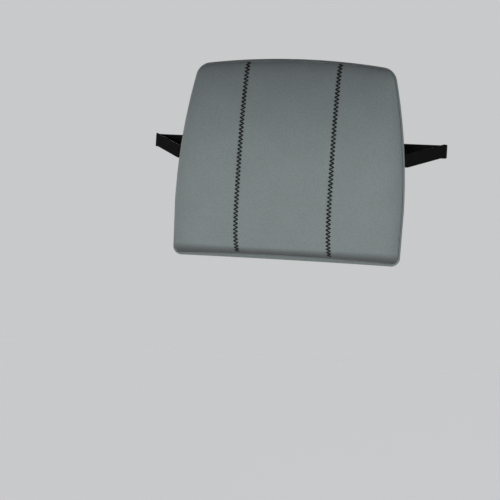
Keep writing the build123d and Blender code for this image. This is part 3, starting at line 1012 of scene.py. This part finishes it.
# ======== stitching on the strap
def stitch_line(a, b, face_y, pitch=2.4, radius=0.36):
    """Lock stitches from a to b, given as (x, z), lying on a rear face at this y."""
    a, b = np.array(a, float), np.array(b, float)
    stitches = max(1, int(round(np.linalg.norm(b - a) / pitch)))
    lots = []
    for k in range(stitches):
        p, q = a + (b - a) * (k + 0.1) / stitches, a + (b - a) * (k + 0.9) / stitches
        arch = []
        for t in np.linspace(0, 1, 7):
            x, z = p + (q - p) * t
            arch.append((x, face_y - 0.35 + 0.6 * math.sin(math.pi * t) ** 0.5, z))
        lots.append(tube(arch, radius, 6))
    return lots


def box_corners(lo, hi, margin):
    """Corners of a node's rear face, drawn in by the margin, as (x, z) in order."""
    x0, x1, z0, z1 = lo[0] + margin, hi[0] - margin, lo[2] + margin, hi[2] - margin
    return [(x0, z0), (x1, z0), (x1, z1), (x0, z1)]


def sides_of(corners):
    """The sides of a closed shape, as pairs of corners."""
    return list(zip(corners, corners[1:] + corners[:1]))


def make_box_stitch(section):
    """The box-and-cross stitching that holds an end of the elastic on its wing."""
    lo, hi, _ = cad(f"anchor_stitch_{section}")
    corners = box_corners(lo, hi, 0.4)
    runs = sides_of(corners) + [(corners[0], corners[2]), (corners[1], corners[3])]
    lots = [lot for a, b in runs for lot in stitch_line(a, b, STRAP_THICK)]
    tack = joined(f"box_stitch_{section}", lots)
    stand_in(tack, f"anchor_stitch_{section}", "thread")
    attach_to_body(tack, BODY[section])


TACK_PASSES = 34


def make_bar_tack():
    """The close zigzag that shuts the fold on the insert's bar."""
    lo, hi, _ = cad("insert_bartack")
    heights = np.linspace(lo[2] + 0.4, hi[2] - 0.4, TACK_PASSES + 1)
    turns = [(lo[0] + 0.5 if k % 2 else hi[0] - 0.5, z) for k, z in enumerate(heights)]
    face_y = STRAP_Y + STRAP_THICK / 2 - 0.1
    points = [(x, face_y + 0.42 * math.sin(math.pi * t) ** 0.5, z) for x, z, t in along_turns(turns, 6)]
    bar_tack = joined("bar_tack", [tube(points, 0.3, 6)])
    stand_in(bar_tack, "insert_bartack", "thread")
    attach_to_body(bar_tack, "buckle_insert")


for _, section in SIDES:
    make_box_stitch(section)
make_bar_tack()


# ======== care label
def make_label():
    """The blank label and the thread that holds it; gives the thread, which has a colour of its own."""
    lo, hi, _ = cad("care_label")
    x, z = np.meshgrid(np.linspace(lo[0], hi[0], 40), np.linspace(lo[2], hi[2], 50))
    to_edge = np.minimum(np.minimum(x - lo[0], hi[0] - x), np.minimum(z - lo[2], hi[2] - z))
    buckle = 0.08 * np.sin((z - lo[2]) / 5.0) * np.sin((x - lo[0]) / 7.0)
    top = 0.16 + 0.12 * np.exp(-to_edge / 1.2) + buckle
    inner = np.stack([x, np.full_like(x, -0.05), z], axis=2)
    label = shell("care_label_blank", inner, np.stack([x, top, z], axis=2))
    stand_in(label, "care_label", "label")
    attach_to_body(label, "right_wing")
    runs = sides_of(box_corners(lo, hi, 1.6))
    thread = joined("label_stitch", [lot for a, b in runs for lot in stitch_line(a, b, 0.3, 2.0, 0.2)])
    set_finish(thread, "thread")
    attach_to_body(thread, "right_wing")
    return thread


label_thread = make_label()


# ======== materials
class Look:
    """A node material under construction."""

    def __init__(self, name):
        self.material = bpy.data.materials.new(name)
        self.material.use_nodes = True
        self.tree = self.material.node_tree
        self.tree.nodes.clear()
        self.shader = self.add("ShaderNodeBsdfPrincipled")
        self.output = self.add("ShaderNodeOutputMaterial")
        self.tree.links.new(self.shader.outputs[0], self.output.inputs["Surface"])

    def add(self, kind, sockets=None, **settings):
        """A node with its sockets linked or set."""
        node = self.tree.nodes.new(kind)
        for key, value in settings.items():
            setattr(node, key, value)
        for key, value in (sockets or {}).items():
            if isinstance(value, bpy.types.NodeSocket):
                self.tree.links.new(value, node.inputs[key])
            else:
                node.inputs[key].default_value = value
        return node

    def math(self, operation, a, b=0.0):
        """The result of a sum of two values."""
        return self.add("ShaderNodeMath", {0: a, 1: b}, operation=operation).outputs[0]

    def mix(self, share, a, b, blend="MIX"):
        """Two colours mixed."""
        sockets = {0: share, 6: a, 7: b}
        return self.add("ShaderNodeMix", sockets, data_type="RGBA", blend_type=blend).outputs[2]

    def noise(self, vector, scale, detail=2.0, roughness=0.5):
        """Smooth noise; scale is in features to the metre."""
        sockets = {"Vector": vector, "Scale": scale, "Detail": detail, "Roughness": roughness}
        return self.add("ShaderNodeTexNoise", sockets).outputs["Fac"]

    def wave(self, vector, scale, direction, distortion=0.0):
        """Regular bands across X or Y."""
        sockets = {"Vector": vector, "Scale": scale, "Distortion": distortion, "Detail": 1.0}
        node = self.add("ShaderNodeTexWave", sockets, wave_type="BANDS", bands_direction=direction)
        return node.outputs["Fac"]

    def ramp(self, value, stops):
        """A colour for each value, by (value, colour) stops."""
        node = self.add("ShaderNodeValToRGB", {"Fac": value})
        for k, (place, colour) in enumerate(stops):
            element = node.color_ramp.elements[k] if k < 2 else node.color_ramp.elements.new(place)
            element.position = place
            element.color = colour
        return node.outputs["Color"]

    def bump(self, heights):
        """Stacks (height, distance in metres, strength) bumps into the shader's normal."""
        last = None
        for height, distance, strength in heights:
            sockets = {"Height": height, "Distance": distance, "Strength": strength}
            if last is not None:
                sockets["Normal"] = last
            last = self.add("ShaderNodeBump", sockets).outputs[0]
        self.tree.links.new(last, self.shader.inputs["Normal"])

    def set(self, **sockets):
        """Sets or links the shader's own sockets."""
        names = {
            "color": "Base Color", "rough": "Roughness", "sheen": "Sheen Weight",
            "sheen_rough": "Sheen Roughness", "specular": "Specular IOR Level",
        }
        for key, value in sockets.items():
            socket = self.shader.inputs[names[key]]
            if isinstance(value, bpy.types.NodeSocket):
                self.tree.links.new(value, socket)
            else:
                socket.default_value = value


def grey(v):
    return (v, v, v, 1.0)


def tone(r, g, b):
    return (r, g, b, 1.0)


def cloth_look(name, dark, mid_tone, light, pitch, depth, sheen, painted_shade=0.0):
    """A knitted or woven cloth in the piece's own cloth coordinates; lengths are in metres."""
    look = Look(name)
    uv = look.add("ShaderNodeTexCoord").outputs["UV"]
    wide = look.noise(uv, 22.0, 3.0, 0.55)
    patch = look.noise(uv, 140.0, 2.0, 0.6)
    fibre = look.noise(uv, 2600.0, 3.0, 0.7)
    across = look.wave(uv, 0.5 / pitch, "X", 0.6)
    along_wave = look.wave(uv, 0.38 / pitch, "Y", 0.6)
    weave = look.math("MULTIPLY", across, along_wave)
    blotch = look.math("ADD", look.math("MULTIPLY", wide, 0.55), look.math("MULTIPLY", patch, 0.45))
    base = look.ramp(blotch, [(0.3, dark), (0.7, light), (0.5, mid_tone)])
    heather = look.ramp(fibre, [(0.35, grey(0.86)), (0.68, grey(1.12))])
    base = look.mix(1.0, base, heather, "MULTIPLY")
    slub = look.ramp(look.noise(uv, 360.0, 2.0, 0.6), [(0.36, grey(0.94)), (0.64, grey(1.05))])
    base = look.mix(1.0, base, slub, "MULTIPLY")
    shade = look.ramp(weave, [(0.0, grey(0.87)), (0.6, grey(1.06))])
    base = look.mix(1.0, base, shade, "MULTIPLY")
    # Painted shade: the "edge" attribute darkens the cloth in the crease above the bottom binding and along
    # the foot.
    if painted_shade:
        tuck = look.add("ShaderNodeAttribute", attribute_name="edge").outputs["Fac"]
        base = look.mix(look.math("MULTIPLY", tuck, painted_shade), base, grey(0.004))
    rough = look.math("ADD", look.math("MULTIPLY", fibre, 0.18), 0.72)
    look.set(color=base, rough=rough, sheen=sheen, sheen_rough=0.45, specular=0.25)
    look.bump([(weave, depth, 0.5), (fibre, depth * 0.8, 0.35), (patch, depth * 3, 0.12)])
    return look.material


cover_look = cloth_look(
    "brushed_knit", tone(0.175, 0.201, 0.201), tone(0.186, 0.213, 0.213), tone(0.197, 0.224, 0.224),
    pitch=0.0006, depth=0.00012, sheen=0.18, painted_shade=0.86,
)
rear_look = cloth_look(
    "charcoal_weave", tone(0.022, 0.024, 0.027), tone(0.029, 0.031, 0.035), tone(0.038, 0.041, 0.045),
    pitch=0.0011, depth=0.00025, sheen=0.12,
)


def elastic_look():
    """Black ribbed elastic, slightly worn."""
    look = Look("woven_elastic")
    uv = look.add("ShaderNodeTexCoord").outputs["UV"]
    picks = look.wave(uv, 0.5 / 0.0009, "X", 0.4)
    ends = look.wave(uv, 0.5 / 0.0007, "Y", 0.2)
    weave = look.math("MULTIPLY", picks, ends)
    fibre = look.noise(uv, 3000.0, 2.0, 0.6)
    worn = look.noise(uv, 60.0, 3.0, 0.6)
    base = look.ramp(worn, [(0.3, grey(0.0024)), (0.75, grey(0.0040))])
    base = look.mix(1.0, base, look.ramp(weave, [(0.0, grey(0.5)), (0.8, grey(1.6))]), "MULTIPLY")
    rough = look.math("ADD", look.math("MULTIPLY", fibre, 0.2), 0.6)
    look.set(color=base, rough=rough, sheen=0.0, sheen_rough=0.4, specular=0.08)
    look.bump([(weave, 0.00022, 0.6), (fibre, 0.00008, 0.4)])
    return look.material


def thread_look(name, dark, light):
    """Twisted sewing thread."""
    look = Look(name)
    uv = look.add("ShaderNodeTexCoord").outputs["UV"]
    turned = look.add("ShaderNodeMapping", {"Vector": uv, "Rotation": (0, 0, 0.7)}).outputs[0]
    twist = look.wave(turned, 0.5 / 0.0005, "X", 0.2)
    fuzz = look.noise(uv, 4000.0, 2.0, 0.6)
    base = look.ramp(twist, [(0.1, dark), (0.9, light)])
    base = look.mix(1.0, base, look.ramp(fuzz, [(0.3, grey(0.85)), (0.7, grey(1.15))]), "MULTIPLY")
    rough = look.math("ADD", look.math("MULTIPLY", fuzz, 0.2), 0.45)
    look.set(color=base, rough=rough, sheen=0.02, specular=0.2)
    look.bump([(twist, 0.0001, 0.7), (fuzz, 0.00004, 0.4)])
    return look.material


def plastic_look():
    """Black moulded plastic with a fine grain, scuffed on its edges."""
    look = Look("moulded_acetal")
    place = look.add("ShaderNodeTexCoord").outputs["Object"]
    grain = look.noise(place, 2600.0, 3.0, 0.6)
    flow = look.noise(place, 90.0, 2.0, 0.5)
    scuff = look.noise(place, 420.0, 4.0, 0.75)
    sharp = look.add("ShaderNodeNewGeometry").outputs["Pointiness"]
    worn = look.ramp(sharp, [(0.52, grey(0.0)), (0.62, grey(1.0))])
    scratched = look.ramp(scuff, [(0.6, grey(0.0)), (0.72, grey(1.0))])
    base = look.ramp(flow, [(0.35, grey(0.010)), (0.7, grey(0.014))])
    wear = look.math("MULTIPLY", worn, scratched)
    base = look.mix(look.math("MULTIPLY", wear, 0.6), base, grey(0.05))
    rough = look.math("ADD", look.math("MULTIPLY", grain, 0.16), 0.32)
    look.set(color=base, rough=rough, specular=0.5)
    look.bump([(grain, 0.00006, 0.4), (flow, 0.0002, 0.1)])
    return look.material


def foam_look():
    """Cream foam with open cells."""
    look = Look("open_cell_foam")
    place = look.add("ShaderNodeTexCoord").outputs["Object"]
    cells = look.add("ShaderNodeTexVoronoi", {"Vector": place, "Scale": 900.0}).outputs["Distance"]
    wide = look.noise(place, 30.0, 3.0, 0.6)
    base = look.ramp(wide, [(0.3, tone(0.70, 0.66, 0.55)), (0.7, tone(0.78, 0.75, 0.65))])
    base = look.mix(1.0, base, look.ramp(cells, [(0.1, grey(0.8)), (0.6, grey(1.05))]), "MULTIPLY")
    look.set(color=base, rough=0.95, specular=0.1)
    look.bump([(cells, 0.0004, 0.6)])
    return look.material


def label_look():
    """White satin ribbon."""
    look = Look("satin_ribbon")
    uv = look.add("ShaderNodeTexCoord").outputs["UV"]
    ribs = look.wave(uv, 0.5 / 0.0005, "Y", 0.1)
    wide = look.noise(uv, 80.0, 3.0, 0.6)
    base = look.ramp(wide, [(0.3, tone(0.40, 0.40, 0.385)), (0.7, tone(0.47, 0.47, 0.455))])
    base = look.mix(1.0, base, look.ramp(ribs, [(0.0, grey(0.9)), (1.0, grey(1.04))]), "MULTIPLY")
    look.set(color=base, rough=0.42, sheen=0.15, specular=0.5)
    look.bump([(ribs, 0.00006, 0.5)])
    return look.material


HARD_NODES = ("buckle_socket", "buckle_insert", "latch_arm_upper", "latch_arm_lower", "adjuster_frame")


def dress(obj, material):
    obj.data.materials.clear()
    obj.data.materials.append(material)


def dress_all():
    """Gives every piece the look of its slot, and the hardware its plastic."""
    looks = {
        "cover_fabric": cover_look,
        "rear_fabric": rear_look,
        "elastic": elastic_look(),
        "thread": thread_look("black_thread", grey(0.0015), grey(0.004)),
        "foam": foam_look(),
        "label": label_look(),
    }
    for obj in list(bpy.context.scene.objects):
        if obj.type == "MESH" and "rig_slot" in obj:
            dress(obj, looks[obj["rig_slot"]])
    dress(label_thread, thread_look("pale_thread", grey(0.45), grey(0.6)))
    plastic = plastic_look()
    for node in HARD_NODES:
        dress(frame["nodes"][node], plastic)


dress_all()


# ======== floor, light and camera, in metres
FLOOR_Z = -0.75
FLOOR_HALF = 9.0
FLOOR_GLOW = 0.51
SKY = [(0.19, (0.58, 0.585, 0.59, 1)), (0.34, (0.03, 0.038, 0.052, 1))]  # (upward slope, colour)


def make_floor():
    """A pale floor that glows a little, so that it meets the background without a line."""
    corners = [(-1, -1), (1, -1), (1, 1), (-1, 1)]
    points = np.array([(x * FLOOR_HALF, y * FLOOR_HALF, FLOOR_Z) for x, y in corners])
    floor = piece_from("floor", points / MM, [(0, 1, 2, 3)])
    look = Look("pale_floor")
    place = look.add("ShaderNodeTexCoord").outputs["Object"]
    base = look.ramp(look.noise(place, 3.0, 2.0), [(0.3, grey(0.86)), (0.7, grey(0.89))])
    look.set(color=base, rough=0.9, specular=0.1)
    look.shader.inputs["Emission Color"].default_value = (1.0, 1.0, 1.0, 1.0)
    look.shader.inputs["Emission Strength"].default_value = FLOOR_GLOW
    dress(floor, look.material)


def make_world():
    """A studio that is pale at the horizon and dark overhead."""
    world = bpy.data.worlds.new("studio")
    bpy.context.scene.world = world
    world.use_nodes = True
    sky = world.node_tree
    around = sky.nodes.new("ShaderNodeTexCoord")
    split = sky.nodes.new("ShaderNodeSeparateXYZ")
    glow = sky.nodes.new("ShaderNodeValToRGB")
    sky.links.new(around.outputs["Generated"], split.inputs[0])
    sky.links.new(split.outputs["Z"], glow.inputs["Fac"])
    sky.links.new(glow.outputs["Color"], sky.nodes["Background"].inputs["Color"])
    for element, (slope, colour) in zip(glow.color_ramp.elements, SKY):
        element.position = slope
        element.color = colour
    sky.nodes["Background"].inputs["Strength"].default_value = 1.0


def softbox(name, place, aim, size, power, spread):
    """A rectangular lamp at a place, turned towards its aim."""
    data = bpy.data.lights.new(name, "AREA")
    data.shape = "RECTANGLE"
    data.size, data.size_y = size
    data.energy = power
    data.spread = math.radians(spread)
    lamp = bpy.data.objects.new(name, data)
    bpy.context.scene.collection.objects.link(lamp)
    lamp.location = place
    lamp.rotation_mode = "QUATERNION"
    lamp.visible_camera = False
    lamp.rotation_quaternion = (Vector(aim) - Vector(place)).to_track_quat("-Z", "Y")


AZIMUTH, ELEVATION, ROLL = math.radians(13.5), math.radians(-0.84), math.radians(-3.47)
DISTANCE = 2.4
TARGET = Vector((-0.0492, -0.020, -0.1385))
LENS = 116.0
SENSOR = 36.0


def make_camera():
    """The camera, at an azimuth and elevation round its target, and rolled about its own axis."""
    data = bpy.data.cameras.new("camera")
    data.sensor_width = SENSOR
    data.lens = LENS
    camera = bpy.data.objects.new("camera", data)
    bpy.context.scene.collection.objects.link(camera)
    bpy.context.scene.camera = camera
    right = Vector((math.cos(AZIMUTH), math.sin(AZIMUTH), 0))
    ahead = Vector((-math.sin(AZIMUTH), math.cos(AZIMUTH), 0)) * math.cos(ELEVATION)
    ahead.z = -math.sin(ELEVATION)
    up = right.cross(ahead)
    rolled_right = math.cos(ROLL) * right - math.sin(ROLL) * up
    rolled_up = math.sin(ROLL) * right + math.cos(ROLL) * up
    turned = Matrix((rolled_right, rolled_up, -ahead)).transposed()
    camera.matrix_world = Matrix.Translation(TARGET - ahead * DISTANCE) @ turned.to_4x4()


make_floor()
make_world()
softbox("key", place=(-0.21, -0.85, -0.055), aim=(-0.11, 0, -0.055), size=(1.1, 0.15), power=0.68, spread=40)
softbox("side", place=(1.9, -0.6, -0.1), aim=(0, 0, -0.05), size=(1.0, 1.0), power=1.2, spread=60)
softbox("back", place=(-0.6, 1.9, 0.9), aim=(0, 0, 0), size=(1.2, 1.2), power=8, spread=60)
make_camera()
bpy.context.scene.view_settings.view_transform = "Standard"
